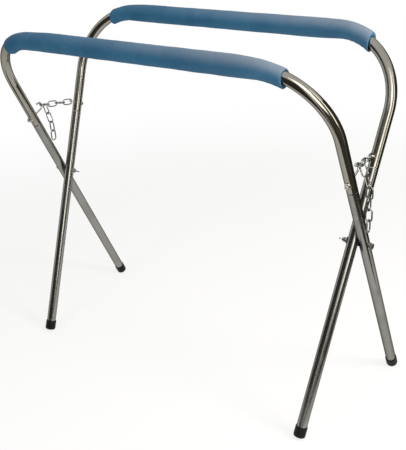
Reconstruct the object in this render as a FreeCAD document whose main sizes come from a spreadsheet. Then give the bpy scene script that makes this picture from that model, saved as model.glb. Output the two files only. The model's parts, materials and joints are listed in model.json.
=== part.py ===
import FreeCAD, Part
import math
import os

import Sketcher

# Folding trestle stand: two U-shaped tube frames cross at a pivot on each side.  A foam
# sleeve pads the top bar of each frame, and a short chain on each side, hooked across the
# upper legs, stops the feet from sliding apart.
#
# Object frame: millimetres, origin on the floor midway between the four feet, X along the
# bars, +Z up.  The outer frame has its bar at the front (-Y) and its feet at the back (+Y).
# The inner frame has its bar at the back, its feet at the front, and its legs draw in
# towards the floor, so that they cross inside the outer legs.

# Driving dimensions: every size that can be chosen by itself, in millimetres or degrees.
SIZES = {
    # frames
    "HalfWidth": 488.0,         # middle of the stand to the corner of a bar and a leg
    "UpperReach": 466.0,        # pivot to bar, along the plane of a frame
    "LowerReach": 483.4,        # pivot to floor, along the plane of a frame
    "BendRadius": 158.0,        # centreline of the bends
    "TubeDiameter": 25.4,
    "TubeWall": 1.5,
    "LegGap": 4.0,              # clear gap between crossing legs at the pivot
    "BoltReach": 196.0,         # pivot to the cross bolts that lock upper and lower tubes
    "SeamBelowBolt": 23.0,
    "SpigotLength": 62.0,       # reduced end of a lower leg inside the upper tube
    "SpigotPlay": 0.1,
    "ShoulderLength": 3.0,      # taper from full tube to spigot at the seam
    "ShoulderDepth": 0.9,
    # feet
    "FootWall": 1.8,
    "FootLength": 27.0,
    "FootBase": 4.0,
    "FootRound": 5.5,
    # foam sleeves
    "FoamDiameter": 46.0,
    "FrontLeftAngle": 35.0,     # how far round each bend a sleeve reaches
    "FrontRightAngle": 25.0,
    "RearLeftAngle": 24.0,
    "RearRightAngle": 30.0,
    # pivots
    "PivotDiameter": 8.0,
    "PivotHeadAcross": 13.0,
    "PivotHeadHeight": 5.3,
    "PivotOverhang": 3.0,       # bolt end past the wing nut's hub
    "WasherDiameter": 16.0,
    "WasherThickness": 1.6,
    "SpacerDiameter": 14.0,
    "WingHubDiameter": 13.0,
    "WingHubTop": 10.5,
    "WingHubHeight": 8.0,
    "WingSpan": 29.0,
    "WingThickness": 3.0,
    "WingRoot": 3.9,            # half of the wings' width inside the hub
    "WingHeel": 0.8,            # height at which a wing's lower edge leaves the hub
    "WingShoulder": 6.8,        # height at which its upper edge does
    "WingKneeOut": 12.0,
    "WingKneeUp": 6.6,
    "WingTipUp": 11.6,
    "WingCrownOut": 12.4,
    "WingCrownUp": 14.5,
    "WingInnerOut": 8.4,
    "WingInnerUp": 13.0,
    "WingRound": 1.6,           # rounding of the wing tips
    "WingAngle": 30.0,          # resting turn of the wings from level
    # hook bolts and eye bolts
    "HookWire": 5.0,
    "HookReach": 33.0,          # leg axis to the start of the bend
    "HookRadius": 10.0,
    "HookTip": 4.0,
    "EyeWire": 5.0,
    "EyeRadius": 6.5,
    "ThreadEnd": 8.5,           # bolt end past the tube, on the nut side
    "NutAcross": 8.0,
    "NutThickness": 4.5,
    # chain
    "LinkWire": 3.4,
    "LinkWidth": 18.0,
    "LinkPitch": 25.9,          # inner length of a link
    "ChainLinks": 4.0,          # links in the taut run
    "LeftTailLinks": 4.0,       # spare links past the hooked one
    "RightTailLinks": 6.0,
    "TailAngle": 21.0,          # first two tail links lean out to clear the leg
    "TailStart": 10.4,          # hooked link's end to where the tail hangs on it
    # fits
    "Play": 0.3,                # between pieces that move against each other
    "Fit": 0.05,                # between pieces of one assembly
}

# Dimensions that follow from the driving ones.  The chain's length sets the spread.
WORKED = {
    "TubeRadius": "Sizes.TubeDiameter / 2",
    "BoreRadius": "Sizes.TubeDiameter / 2 - Sizes.TubeWall",
    "SpigotRadius": "Sizes.TubeDiameter / 2 - Sizes.TubeWall - Sizes.SpigotPlay",
    "LegDraw": "(Sizes.TubeDiameter + Sizes.LegGap) / Sizes.UpperReach",
    "LegSplay": "atan(LegDraw) / 1deg",
    "SeamHeight": "Sizes.BoltReach - Sizes.SeamBelowBolt",
    "EyeInset": "(Sizes.UpperReach - Sizes.BoltReach) * LegDraw",
    "PivotInset": "Sizes.TubeDiameter + Sizes.LegGap",
    "EyeX": "Sizes.HalfWidth - EyeInset",
    "LinkBend": "(Sizes.LinkWidth - Sizes.LinkWire) / 2",
    "LinkStep": "Sizes.LinkPitch - Sizes.Play",
    "ChainSpan": "(Sizes.ChainLinks - 1) * LinkStep + Sizes.LinkPitch + Sizes.LinkWire",
    "HookSeatOut": "Sizes.HookReach + Sizes.HookRadius"
                   " - (Sizes.HookWire + Sizes.LinkWire) / 2 - Sizes.Play",
    "HookSeatUp": "Sizes.BoltReach + Sizes.HookRadius",
    "EyeCentre": "TubeRadius + Sizes.Play + Sizes.EyeWire / 2 + Sizes.EyeRadius",
    "EyeSeatOut": "EyeCentre + Sizes.EyeRadius"
                  " - (Sizes.EyeWire + Sizes.LinkWire) / 2 - 3 * Sizes.Play",
    "HookRay": "sqrt(HookSeatOut ^ 2 + HookSeatUp ^ 2)",
    "EyeRay": "sqrt(EyeSeatOut ^ 2 + Sizes.BoltReach ^ 2)",
    "SeatSpan": "sqrt(ChainSpan ^ 2 - EyeInset ^ 2)",
    "RayAngle": "acos((HookRay ^ 2 + EyeRay ^ 2 - SeatSpan ^ 2) / (2 * HookRay * EyeRay)) / 1deg",
    "HookRayAngle": "atan(HookSeatOut / HookSeatUp) / 1deg",
    "EyeRayAngle": "atan(EyeSeatOut / Sizes.BoltReach) / 1deg",
    "LegTilt": "(RayAngle + HookRayAngle + EyeRayAngle) / 2",
    "PivotHeight": "Sizes.LowerReach * cos(LegTilt)",
    "HookSeatY": "HookSeatOut * cos(LegTilt) - HookSeatUp * sin(LegTilt)",
    "HookSeatZ": "PivotHeight + HookSeatOut * sin(LegTilt) + HookSeatUp * cos(LegTilt)",
    "EyeSeatY": "Sizes.BoltReach * sin(LegTilt) - EyeSeatOut * cos(LegTilt)",
    "EyeSeatZ": "PivotHeight + EyeSeatOut * sin(LegTilt) + Sizes.BoltReach * cos(LegTilt)",
    "ChainDip": "atan((EyeSeatZ - HookSeatZ) / (EyeSeatY - HookSeatY)) / 1deg",
    "ChainSlant": "asin(EyeInset / ChainSpan) / 1deg",
    "FootRadius": "TubeRadius + Sizes.FootWall",
    "InnerLean": "acos(cos(LegTilt) * cos(LegSplay)) / 1deg",
    "OuterFootReach": "(PivotHeight - (FootRadius - Sizes.FootRound) * sin(LegTilt)"
                      " - Sizes.FootRound * (1 - cos(LegTilt))) / cos(LegTilt)",
    "InnerFootReach": "(PivotHeight - (FootRadius - Sizes.FootRound) * sin(InnerLean)"
                      " - Sizes.FootRound * (1 - cos(InnerLean))) / cos(InnerLean)",
    "SpacerLead": "Sizes.Play + Sizes.SpacerDiameter / 2 * LegDraw",
    "WasherLead": "Sizes.Play + Sizes.WasherDiameter / 2 * LegDraw",
    "HeadSeat": "TubeRadius + 2 * Sizes.Fit + Sizes.WasherThickness",
    "NutSeat": "PivotInset + TubeRadius + WasherLead + Sizes.WasherThickness + Sizes.Fit",
}

OUTER = "placement(vector(0; 0; Worked.PivotHeight); rotation(vector(1; 0; 0); Worked.LegTilt))"
INNER = "placement(vector(0; 0; Worked.PivotHeight); rotation(vector(1; 0; 0); -Worked.LegTilt))"
BOLT_HOLE = "Sizes.HookWire / 2 + 2 * Sizes.Fit"
SIDES = {"left": -1, "right": 1}

doc = FreeCAD.newDocument("TrestleStand")


def add_sheet(name, rows):
    """Fill a spreadsheet: one row per dimension, its value or formula, and its alias."""
    sheet = doc.addObject("Spreadsheet::Sheet", name)
    for row, (alias, content) in enumerate(rows.items(), start=1):
        sheet.set(f"A{row}", alias)
        sheet.set(f"B{row}", content)
        sheet.setAlias(f"B{row}", alias)
    doc.recompute()
    return sheet


sizes = add_sheet("Sizes", {alias: repr(value) for alias, value in SIZES.items()})
worked = add_sheet("Worked", {alias: f"={formula}" for alias, formula in WORKED.items()})


def size(alias):
    """Value of a dimension, to draw a sketch near its constrained shape."""
    return float(sizes.get(alias)) if alias in SIZES else float(worked.get(alias))


def spot(x="0", y="0", z="0", axis=None, angle="0"):
    """Placement expression from a position and an optional turn about one axis."""
    turn = f"rotation(vector({axis or '0; 0; 1'}); {angle})"
    return f"placement(vector({x}; {y}; {z}); {turn})"


def place(item, *steps):
    """Bind an object's Placement to a chain of placement expressions."""
    item.setExpression("Placement", " * ".join(steps))
    return item


# ---------------------------------------------------------------- sketches and features


def new_body(label):
    body = doc.addObject("PartDesign::Body", label)
    body.Label = label
    return body


def new_sketch(body, name, role, offset=None, tilt=None):
    """Sketch on one of the body's own origin planes, moved along its normal or tilted."""
    plane = next(feature for feature in body.Origin.OriginFeatures if feature.Role == role)
    sketch = body.newObject("Sketcher::SketchObject", name)
    sketch.AttachmentSupport = [(plane, "")]
    sketch.MapMode = "FlatFace"
    if offset:
        sketch.setExpression("AttachmentOffset.Base.z", offset)
    if tilt:
        sketch.AttachmentOffset = FreeCAD.Placement(
            FreeCAD.Vector(), FreeCAD.Rotation(FreeCAD.Vector(1, 0, 0), 0))
        sketch.setExpression("AttachmentOffset", spot(axis="1; 0; 0", angle=tilt))
    return sketch


def bind(sketch, name, expression):
    sketch.renameConstraint(sketch.ConstraintCount - 1, name)
    sketch.setExpression(f"Constraints.{name}", expression)


def add_circle(sketch, name, radius, x=None, y=None):
    """Circle with a bound radius, centred on the origin or at bound coordinates."""
    index = sketch.addGeometry(Part.Circle(
        FreeCAD.Vector(evaluate(x), evaluate(y), 0), FreeCAD.Vector(0, 0, 1), evaluate(radius)))
    if x is None and y is None:
        sketch.addConstraint(Sketcher.Constraint("Coincident", index, 3, -1, 1))
    else:
        pin(sketch, name, index, 3, x, y)
    sketch.addConstraint(Sketcher.Constraint("Radius", index, evaluate(radius)))
    bind(sketch, f"{name}Radius", radius)
    return index


def evaluate(expression):
    """Number that an expression over the two sheets gives now."""
    return float(sizes.evalExpression(expression)) if expression else 0.0


def pin(sketch, name, index, point, x, y):
    """Fix a point of a sketch at bound coordinates; None means on the axis."""
    if x is None:
        sketch.addConstraint(Sketcher.Constraint("PointOnObject", index, point, -2))
    else:
        sketch.addConstraint(Sketcher.Constraint("DistanceX", -1, 1, index, point, evaluate(x)))
        bind(sketch, f"{name}X", x)
    if y is None:
        sketch.addConstraint(Sketcher.Constraint("PointOnObject", index, point, -1))
    else:
        sketch.addConstraint(Sketcher.Constraint("DistanceY", -1, 1, index, point, evaluate(y)))
        bind(sketch, f"{name}Y", y)


def add_polygon(sketch, name, corners):
    """Closed outline through corners whose coordinates are expressions."""
    points = [FreeCAD.Vector(evaluate(x), evaluate(y), 0) for x, y in corners]
    count = len(points)
    for index in range(count):
        sketch.addGeometry(Part.LineSegment(points[index], points[(index + 1) % count]))
    for index in range(count):
        after = (index + 1) % count
        sketch.addConstraint(Sketcher.Constraint("Coincident", index, 2, after, 1))
        pin(sketch, f"{name}{index}", index, 1, *corners[index])


def sweep(body, name, path, profile):
    pipe = body.newObject("PartDesign::AdditivePipe", name)
    pipe.Profile = profile
    pipe.Spine = (path, [])
    pipe.Mode = "Frenet"
    doc.recompute()
    return pipe


def revolve(body, name, profile, axis="V_Axis"):
    turned = body.newObject("PartDesign::Revolution", name)
    turned.Profile = profile
    turned.ReferenceAxis = (profile, [axis])
    turned.Angle = 360.0
    doc.recompute()
    return turned


def drill(body, name, sketch):
    """Hole through the whole body, both ways from the sketch."""
    hole = body.newObject("PartDesign::Pocket", name)
    hole.Profile = sketch
    hole.Type = "ThroughAll"
    hole.Midplane = True
    doc.recompute()
    return hole


# ---------------------------------------------------------------- frames


def draw_half_frame(sketch, splay, sign):
    """Centreline of half a frame: bar, bend and upper leg down to the seam."""
    turn = 90 + evaluate(splay)
    radius = size("BendRadius")
    reach = size("UpperReach")
    straight = size("HalfWidth") - radius * math.tan(math.radians(turn / 2))
    centre = FreeCAD.Vector(sign * straight, reach - radius, 0)
    start, end = (90 - turn, 90) if sign > 0 else (90, 90 + turn)
    arc = Part.ArcOfCircle(
        Part.Circle(centre, FreeCAD.Vector(0, 0, 1), radius), math.radians(start), math.radians(end))
    bend_end = arc.StartPoint if sign > 0 else arc.EndPoint
    seam = size("SeamHeight")
    run = (bend_end.y - seam) * math.tan(math.radians(turn - 90))
    bar = sketch.addGeometry(Part.LineSegment(
        FreeCAD.Vector(0, reach, 0), FreeCAD.Vector(sign * straight, reach, 0)))
    bend = sketch.addGeometry(arc)
    leg = sketch.addGeometry(Part.LineSegment(
        bend_end, FreeCAD.Vector(bend_end.x - sign * run, seam, 0)))
    near, far = (2, 1) if sign > 0 else (1, 2)
    sketch.addConstraint(Sketcher.Constraint("Horizontal", bar))
    pin(sketch, "BarStart", bar, 1, None, "Sizes.UpperReach")
    sketch.addConstraint(Sketcher.Constraint("Tangent", bar, 2, bend, near))
    sketch.addConstraint(Sketcher.Constraint("Tangent", bend, far, leg, 1))
    sketch.addConstraint(Sketcher.Constraint("Radius", bend, radius))
    bind(sketch, "Bend", "Sizes.BendRadius")
    sketch.addConstraint(Sketcher.Constraint("DistanceX", -1, 1, bar, 2, sign * straight))
    bind(sketch, "BarEnd", f"{sign} * (Sizes.HalfWidth - Sizes.BendRadius * tan(45 + ({splay}) / 2))")
    sketch.addConstraint(Sketcher.Constraint("Angle", bend, math.radians(turn)))
    bind(sketch, "Turn", f"(90 + {splay}) * 1deg")
    sketch.addConstraint(Sketcher.Constraint("DistanceY", -1, 1, leg, 2, seam))
    bind(sketch, "SeamY", "Worked.SeamHeight")


def draw_wrap(sketch, splay, wrap, sign):
    """Centreline of half a foam sleeve: half the bar and part of one bend."""
    turn = 90 + evaluate(splay)
    radius = size("BendRadius")
    reach = size("UpperReach")
    angle = evaluate(wrap)
    straight = size("HalfWidth") - radius * math.tan(math.radians(turn / 2))
    centre = FreeCAD.Vector(sign * straight, reach - radius, 0)
    start, end = (90 - angle, 90) if sign > 0 else (90, 90 + angle)
    bar = sketch.addGeometry(Part.LineSegment(
        FreeCAD.Vector(0, reach, 0), FreeCAD.Vector(sign * straight, reach, 0)))
    bend = sketch.addGeometry(Part.ArcOfCircle(
        Part.Circle(centre, FreeCAD.Vector(0, 0, 1), radius), math.radians(start), math.radians(end)))
    near = 2 if sign > 0 else 1
    sketch.addConstraint(Sketcher.Constraint("Horizontal", bar))
    pin(sketch, "BarStart", bar, 1, None, "Sizes.UpperReach")
    sketch.addConstraint(Sketcher.Constraint("Tangent", bar, 2, bend, near))
    sketch.addConstraint(Sketcher.Constraint("Radius", bend, radius))
    bind(sketch, "Bend", "Sizes.BendRadius")
    sketch.addConstraint(Sketcher.Constraint("DistanceX", -1, 1, bar, 2, sign * straight))
    bind(sketch, "BarEnd", f"{sign} * (Sizes.HalfWidth - Sizes.BendRadius * tan(45 + ({splay}) / 2))")
    sketch.addConstraint(Sketcher.Constraint("Angle", bend, math.radians(angle)))
    bind(sketch, "Turn", f"{wrap} * 1deg")


def ring_profile(body, name, outer, inner):
    """Annular section across the bar, at the middle of the stand."""
    profile = new_sketch(body, name, "YZ_Plane")
    add_circle(profile, "Outer", outer, None, "Sizes.UpperReach")
    add_circle(profile, "Inner", inner, None, "Sizes.UpperReach")
    return profile


def make_frame_tube(label, frame, splay, bolt_x):
    """U-shaped upper tube: bar, two bends and two upper legs, drilled for the cross bolts."""
    body = new_body(label)
    for side, sign in SIDES.items():
        path = new_sketch(body, f"{label}_{side}_path", "XZ_Plane")
        draw_half_frame(path, splay, sign)
        profile = ring_profile(body, f"{label}_{side}_section", "Worked.TubeRadius", "Worked.BoreRadius")
        sweep(body, f"{label}_{side}_sweep", path, profile)
    holes = new_sketch(body, f"{label}_holes", "XZ_Plane")
    for side, sign in SIDES.items():
        add_circle(holes, side, BOLT_HOLE, f"{sign} * {bolt_x}", "Sizes.BoltReach")
    body.Tip = drill(body, f"{label}_drilled", holes)
    return place(body, frame)


def make_foam(label, frame, splay, wraps):
    """Split foam sleeve round the bar, following both bends for a short way."""
    body = new_body(label)
    for side, sign in SIDES.items():
        path = new_sketch(body, f"{label}_{side}_path", "XZ_Plane")
        draw_wrap(path, splay, wraps[side], sign)
        profile = ring_profile(
            body, f"{label}_{side}_section", "Sizes.FoamDiameter / 2", "Worked.TubeRadius + Sizes.Play")
        body.Tip = sweep(body, f"{label}_{side}_sweep", path, profile)
    return place(body, frame)


# ---------------------------------------------------------------- legs and feet


def leg_spot(sign, inset, splay):
    """Leg's own frame: origin on its axis at pivot level, Z up along the leg."""
    return spot(f"{sign} * (Sizes.HalfWidth - ({inset}))", axis="0; 1; 0", angle=f"{sign} * ({splay})")


def make_leg(label, frame, sign, inset, splay, foot_reach):
    """Lower leg: full tube with a shouldered spigot that plugs into the frame tube."""
    body = new_body(label)
    seam = f"Worked.SeamHeight / cos({splay})"
    low = f"Sizes.FootBase - {foot_reach}"
    shoulder = "Worked.TubeRadius - Sizes.ShoulderDepth"
    profile = new_sketch(body, f"{label}_profile", "XZ_Plane")
    add_polygon(profile, "Wall", [
        ("Worked.SpigotRadius - Sizes.TubeWall", low),
        ("Worked.TubeRadius", low),
        ("Worked.TubeRadius", f"{seam} - Sizes.ShoulderLength"),
        (shoulder, f"{seam} - Sizes.Fit"),
        ("Worked.SpigotRadius", f"{seam} - Sizes.Fit"),
        ("Worked.SpigotRadius", f"{seam} + Sizes.SpigotLength"),
        ("Worked.SpigotRadius - Sizes.TubeWall", f"{seam} + Sizes.SpigotLength"),
    ])
    revolve(body, f"{label}_tube", profile)
    cross = new_sketch(body, f"{label}_bolt_hole", "XZ_Plane")
    add_circle(cross, "Bolt", BOLT_HOLE, None, f"Sizes.BoltReach / cos({splay})")
    drill(body, f"{label}_bolt_drilled", cross)
    pivot = new_sketch(body, f"{label}_pivot_hole", "YZ_Plane", tilt=f"-{sign} * ({splay})")
    add_circle(pivot, "Pivot", "Sizes.PivotDiameter / 2 + Sizes.Fit")
    body.Tip = drill(body, f"{label}_pivot_drilled", pivot)
    return place(body, frame, leg_spot(sign, inset, splay))


def make_foot(label, frame, sign, inset, splay, foot_reach):
    """Rubber cap pushed over the end of a leg, with a rounded bottom edge."""
    body = new_body(label)
    profile = new_sketch(body, f"{label}_profile", "XZ_Plane")
    bore = "Worked.TubeRadius + Sizes.Fit"
    floor = f"Sizes.FootBase - Sizes.Fit - {foot_reach}"
    add_polygon(profile, "Cup", [
        (None, f"-{foot_reach}"),
        ("Worked.FootRadius", f"-{foot_reach}"),
        ("Worked.FootRadius", f"Sizes.FootLength - {foot_reach}"),
        (bore, f"Sizes.FootLength - {foot_reach}"),
        (bore, floor),
        (None, floor),
    ])
    cup = revolve(body, f"{label}_cup", profile)
    lowest = -evaluate(foot_reach)
    rim = next(
        f"Edge{number}" for number, edge in enumerate(cup.Shape.Edges, start=1)
        if isinstance(edge.Curve, Part.Circle)
        and abs(edge.Curve.Center.z - lowest) < 1e-6
        and abs(edge.Curve.Radius - size("FootRadius")) < 1e-6)
    rounded = body.newObject("PartDesign::Fillet", f"{label}_round")
    rounded.Base = (cup, [rim])
    rounded.setExpression("Radius", "Sizes.FootRound")
    doc.recompute()
    body.Tip = rounded
    return place(body, frame, leg_spot(sign, inset, splay))


# ---------------------------------------------------------------- fasteners


def primitive(kind, name, **bindings):
    """Part primitive whose properties are bound to expressions."""
    item = doc.addObject(kind, name)
    for prop, expression in bindings.items():
        item.setExpression(prop, expression)
    return item


def combine(kind, label, *items):
    """Boolean of primitives: Part::Cut of two, or Part::MultiFuse of several."""
    result = doc.addObject(kind, label)
    if kind == "Part::Cut":
        result.Base, result.Tool = items
    else:
        result.Shapes = list(items)
    result.Label = label
    return result


def make_ring(label, diameter, bore, thickness, at):
    """Washer or spacer, its axis along X and its body running outwards from the spot."""
    disc = primitive("Part::Cylinder", f"{label}_disc", Radius=f"{diameter} / 2", Height=thickness)
    hole = primitive("Part::Cylinder", f"{label}_hole", Radius=bore, Height=thickness)
    return place(combine("Part::Cut", label, disc, hole), at)


def make_nut(label, bore, *steps):
    """Plain hexagon nut with its seat at the spot, running along the spot's own Z."""
    hexagon = primitive(
        "Part::Prism", f"{label}_hexagon", Circumradius="Sizes.NutAcross / 2 / cos(30)",
        Height="Sizes.NutThickness")
    hexagon.Polygon = 6
    hole = primitive("Part::Cylinder", f"{label}_hole", Radius=bore, Height="Sizes.NutThickness")
    return place(combine("Part::Cut", label, hexagon, hole), *steps)


def pivot_spot(sign, inset):
    """Spot on the pivot axis, this far in from the outer leg's axis, Z outwards."""
    return spot(f"{sign} * (Sizes.HalfWidth - ({inset}))", z="Worked.PivotHeight",
                axis="0; 1; 0", angle=f"{sign} * 90")


def make_pivot_bolt(label, sign):
    """Hexagon bolt from outside: head, then shank through both legs to the wing nut."""
    head = primitive(
        "Part::Prism", f"{label}_head", Circumradius="Sizes.PivotHeadAcross / 2 / cos(30)",
        Height="Sizes.PivotHeadHeight")
    head.Polygon = 6
    head.setExpression("Placement", spot(z="Worked.HeadSeat"))
    inward = "Worked.NutSeat + Sizes.WingHubHeight + Sizes.PivotOverhang"
    shank = primitive(
        "Part::Cylinder", f"{label}_shank", Radius="Sizes.PivotDiameter / 2",
        Height=f"{inward} + Worked.HeadSeat + Sizes.Fit")
    shank.setExpression("Placement", spot(z=f"-({inward})"))
    return place(combine("Part::MultiFuse", label, head, shank), pivot_spot(sign, "0"))


def make_wing_nut(label, sign):
    """Wing nut: tapered hub with two rising wings, seated against the inner leg's washer."""
    hub = primitive(
        "Part::Cone", f"{label}_hub", Radius1="Sizes.WingHubDiameter / 2",
        Radius2="Sizes.WingHubTop / 2", Height="Sizes.WingHubHeight")
    body = new_body(f"{label}_wings")
    outline = new_sketch(body, f"{label}_outline", "XZ_Plane")
    side = [
        ("Sizes.WingRoot", "Sizes.WingHeel"),
        ("Sizes.WingKneeOut", "Sizes.WingKneeUp"),
        ("Sizes.WingSpan / 2", "Sizes.WingTipUp"),
        ("Sizes.WingCrownOut", "Sizes.WingCrownUp"),
        ("Sizes.WingInnerOut", "Sizes.WingInnerUp"),
        ("Sizes.WingRoot", "Sizes.WingShoulder"),
    ]
    mirrored = [(f"-{x}", z) for x, z in reversed(side)]
    add_polygon(outline, "Wing", side + mirrored)
    wings = body.newObject("PartDesign::Pad", f"{label}_pad")
    wings.Profile = outline
    wings.setExpression("Length", "Sizes.WingThickness")
    wings.Midplane = True
    doc.recompute()
    inner = size("WingInnerOut") - size("WingThickness") / 2
    tips = [
        f"Edge{number}" for number, edge in enumerate(wings.Shape.Edges, start=1)
        if abs(edge.tangentAt(edge.FirstParameter).y) > 0.99
        and abs(edge.CenterOfMass.x) > inner]
    rounded = body.newObject("PartDesign::Fillet", f"{label}_tips")
    rounded.Base = (wings, tips)
    rounded.setExpression("Radius", "Sizes.WingRound")
    body.Tip = rounded
    hole = primitive(
        "Part::Cylinder", f"{label}_hole", Radius="Sizes.PivotDiameter / 2 + Sizes.Fit",
        Height="2 * Sizes.WingHubHeight")
    hole.setExpression("Placement", spot(z="-Sizes.WingHubHeight / 2"))
    solid = combine("Part::MultiFuse", f"{label}_solid", hub, body)
    nut = combine("Part::Cut", label, solid, hole)
    seat = pivot_spot(sign, "Worked.NutSeat")
    turn = spot(angle=f"90 + {sign} * Sizes.WingAngle")
    return place(nut, seat, spot(axis="1; 0; 0", angle="180"), turn)


def make_hook_bolt(label, sign):
    """Bolt through an outer leg, bent over at its inner end into a hook for the chain."""
    body = new_body(label)
    path = new_sketch(body, f"{label}_path", "YZ_Plane")
    back = "Worked.TubeRadius + Sizes.ThreadEnd"
    reach, radius, tip = size("HookReach"), size("HookRadius"), size("HookTip")
    shank = path.addGeometry(Part.LineSegment(
        FreeCAD.Vector(-evaluate(back), 0, 0), FreeCAD.Vector(reach, 0, 0)))
    bend = path.addGeometry(Part.ArcOfCircle(
        Part.Circle(FreeCAD.Vector(reach, radius, 0), FreeCAD.Vector(0, 0, 1), radius),
        -math.pi / 2, math.pi / 2))
    end = path.addGeometry(Part.LineSegment(
        FreeCAD.Vector(reach, 2 * radius, 0), FreeCAD.Vector(reach - tip, 2 * radius, 0)))
    pin(path, "Start", shank, 1, f"-({back})", None)
    pin(path, "ShankEnd", shank, 2, "Sizes.HookReach", None)
    path.addConstraint(Sketcher.Constraint("Tangent", shank, 2, bend, 1))
    path.addConstraint(Sketcher.Constraint("Tangent", bend, 2, end, 1))
    path.addConstraint(Sketcher.Constraint("Radius", bend, radius))
    bind(path, "Bend", "Sizes.HookRadius")
    pin(path, "Tip", end, 2, "Sizes.HookReach - Sizes.HookTip", "2 * Sizes.HookRadius")
    profile = new_sketch(body, f"{label}_section", "XZ_Plane", offset=back)
    add_circle(profile, "Wire", "Sizes.HookWire / 2")
    body.Tip = sweep(body, f"{label}_sweep", path, profile)
    return place(body, OUTER, spot(f"{sign} * Sizes.HalfWidth", z="Sizes.BoltReach"))


def make_eye_bolt(label, sign):
    """Bolt through an inner leg that ends in a closed ring for the chain's last link."""
    inner_end = "Worked.EyeCentre - Sizes.EyeRadius"
    back = "Worked.TubeRadius + Sizes.ThreadEnd"
    shank = primitive(
        "Part::Cylinder", f"{label}_shank", Radius="Sizes.EyeWire / 2", Height=f"{back} + {inner_end}")
    shank.setExpression("Placement", spot(y=back, axis="1; 0; 0", angle="90"))
    ring = primitive(
        "Part::Torus", f"{label}_ring", Radius1="Sizes.EyeRadius", Radius2="Sizes.EyeWire / 2")
    ring.setExpression("Placement", spot(y="-Worked.EyeCentre"))
    eye = combine("Part::MultiFuse", label, shank, ring)
    return place(eye, INNER, spot(f"{sign} * Worked.EyeX", z="Sizes.BoltReach"))


# ---------------------------------------------------------------- chain


def make_link(label, *steps):
    """Welded chain link: round wire swept round a slot, its length along its own Y."""
    body = new_body(label)
    path = new_sketch(body, f"{label}_path", "XY_Plane")
    bend = size("LinkBend")
    half = (size("LinkPitch") + size("LinkWire")) / 2 - bend
    right = path.addGeometry(Part.LineSegment(
        FreeCAD.Vector(bend, -half, 0), FreeCAD.Vector(bend, half, 0)))
    top = path.addGeometry(Part.ArcOfCircle(
        Part.Circle(FreeCAD.Vector(0, half, 0), FreeCAD.Vector(0, 0, 1), bend), 0, math.pi))
    left = path.addGeometry(Part.LineSegment(
        FreeCAD.Vector(-bend, half, 0), FreeCAD.Vector(-bend, -half, 0)))
    low = path.addGeometry(Part.ArcOfCircle(
        Part.Circle(FreeCAD.Vector(0, -half, 0), FreeCAD.Vector(0, 0, 1), bend), math.pi, 2 * math.pi))
    path.addConstraint(Sketcher.Constraint("Tangent", right, 2, top, 1))
    path.addConstraint(Sketcher.Constraint("Tangent", top, 2, left, 1))
    path.addConstraint(Sketcher.Constraint("Tangent", left, 2, low, 1))
    path.addConstraint(Sketcher.Constraint("Tangent", low, 2, right, 1))
    straight = "(Sizes.LinkPitch + Sizes.LinkWire) / 2 - Worked.LinkBend"
    pin(path, "Top", top, 3, None, straight)
    pin(path, "Low", low, 3, None, f"-({straight})")
    path.addConstraint(Sketcher.Constraint("Radius", top, bend))
    bind(path, "Bend", "Worked.LinkBend")
    profile = new_sketch(body, f"{label}_section", "XZ_Plane", offset=straight)
    add_circle(profile, "Wire", "Sizes.LinkWire / 2", "Worked.LinkBend", None)
    body.Tip = sweep(body, f"{label}_sweep", path, profile)
    return place(body, *steps)


def run_start(sign):
    """Steps to the hook's seat, with Y along the taut run."""
    seat = spot(f"{sign} * Sizes.HalfWidth", "Worked.HookSeatY", "Worked.HookSeatZ")
    return [
        seat,
        spot(axis="1; 0; 0", angle="Worked.ChainDip"),
        spot(angle=f"{sign} * Worked.ChainSlant"),
    ]


def make_run(side, sign):
    """Taut links from the hook to the eye, every second one turned on edge."""
    start = run_start(sign)
    links = []
    for number in range(int(size("ChainLinks"))):
        along = f"(Sizes.LinkPitch + Sizes.LinkWire) / 2 + {number} * Worked.LinkStep"
        turn = spot(y=along, axis="0; 1; 0", angle=str(90 * (number % 2)))
        links.append(make_link(f"chain_link_{side}_{number + 1}", *start, turn))
    return links


def make_tail(side, sign):
    """Spare links that hang from the hooked link, leaning out to pass beside the leg."""
    steps = run_start(sign) + [
        spot("Worked.LinkBend", "Sizes.TailStart"),
        spot(angle=f"-{sign} * Worked.ChainSlant"),
        spot(axis="1; 0; 0", angle="-90 - Worked.ChainDip"),
    ]
    links = []
    for number in range(int(size(f"{side.capitalize()}TailLinks"))):
        if number in (0, 2):
            steps.append(spot(angle="-Sizes.TailAngle" if number == 0 else "Sizes.TailAngle"))
        centre = spot(y="(Sizes.LinkPitch - Sizes.LinkWire) / 2 - Sizes.Play", axis="0; 1; 0",
                      angle=str(90 * (number % 2)))
        links.append(make_link(f"tail_link_{side}_{number + 1}", *steps, centre))
        steps.append(spot(y="Worked.LinkStep"))
    return links


# ---------------------------------------------------------------- assembly

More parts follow.
